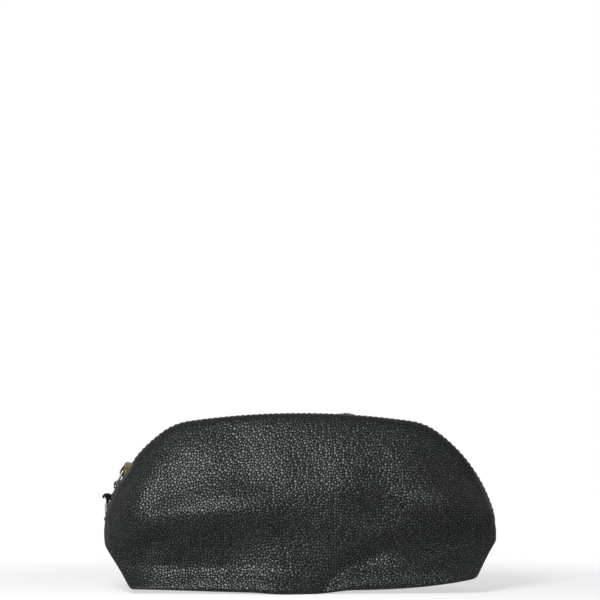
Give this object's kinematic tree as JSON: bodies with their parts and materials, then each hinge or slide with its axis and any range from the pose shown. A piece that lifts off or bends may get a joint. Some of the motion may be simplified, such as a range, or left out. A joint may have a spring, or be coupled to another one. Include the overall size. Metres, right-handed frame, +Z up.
{
  "type": "makeup bag",
  "caption": "Zippered makeup bag of black pebbled leather with a curved top, a boxed flat base and a slider with a leather-and-metal pull.",
  "frame": {"origin": "middle of the flat base, on the surface it stands on", "axes": "+X along the bag to the right as seen from the front, -Y out of the front panel, +Z up"},
  "size_m": [0.249, 0.066, 0.1126],
  "materials": {
    "outer_leather": "black pebbled leather, semi-gloss",
    "strap_leather": "smooth black leather",
    "lining_fabric": "black woven polyester lining",
    "zipper_tape": "black woven tape",
    "thread": "bonded black thread",
    "antique_brass": "antique brass, darkened",
    "pull_metal": "aged nickel, worn bright at the edges"
  },
  "bodies": {
    "root": {"back_panel": "outer_leather", "front_panel_foot": "outer_leather", "back_lining": "lining_fabric", "front_lining_foot": "lining_fabric", "back_tape": "zipper_tape", "front_tape_end": "zipper_tape", "back_teeth": "antique_brass", "front_teeth_end": "antique_brass", "bottom_stop": "antique_brass", "back_top_stop": "antique_brass", "back_topstitch": "thread"},
    "mouth": {"front_panel": "outer_leather", "front_lining": "lining_fabric", "front_tape": "zipper_tape", "front_teeth": "antique_brass", "front_top_stop": "antique_brass", "front_topstitch": "thread"},
    "slider": {"slider_body": "antique_brass", "slider_crown": "antique_brass", "slider_lock": "antique_brass"},
    "pull": {"pull_link": "pull_metal"},
    "strap": {"pull_clip": "pull_metal", "pull_strap": "strap_leather", "pull_tip": "pull_metal"}
  },
  "joints": [
    {"name": "mouth_open", "type": "hinge", "parent": "root", "child": "mouth", "pos_m": [0, -0.033, 0.044], "axis": [1, 0, 0], "range_deg": [0, 25]},
    {"name": "zipper_slide", "type": "hinge", "parent": "root", "child": "slider", "pos_m": [-0.03006, 0, 0.02278], "axis": [0, 1, 0], "range_deg": [0, 18]},
    {"name": "pull_swing", "type": "hinge", "parent": "slider", "child": "pull", "pos_m": [-0.11175, 0, 0.07566], "axis": [0, 1, 0], "range_deg": [0, 160]},
    {"name": "strap_swing", "type": "hinge", "parent": "pull", "child": "strap", "pos_m": [-0.116, 0, 0.0673], "axis": [0, 1, 0], "range_deg": [0, 50]}
  ]
}
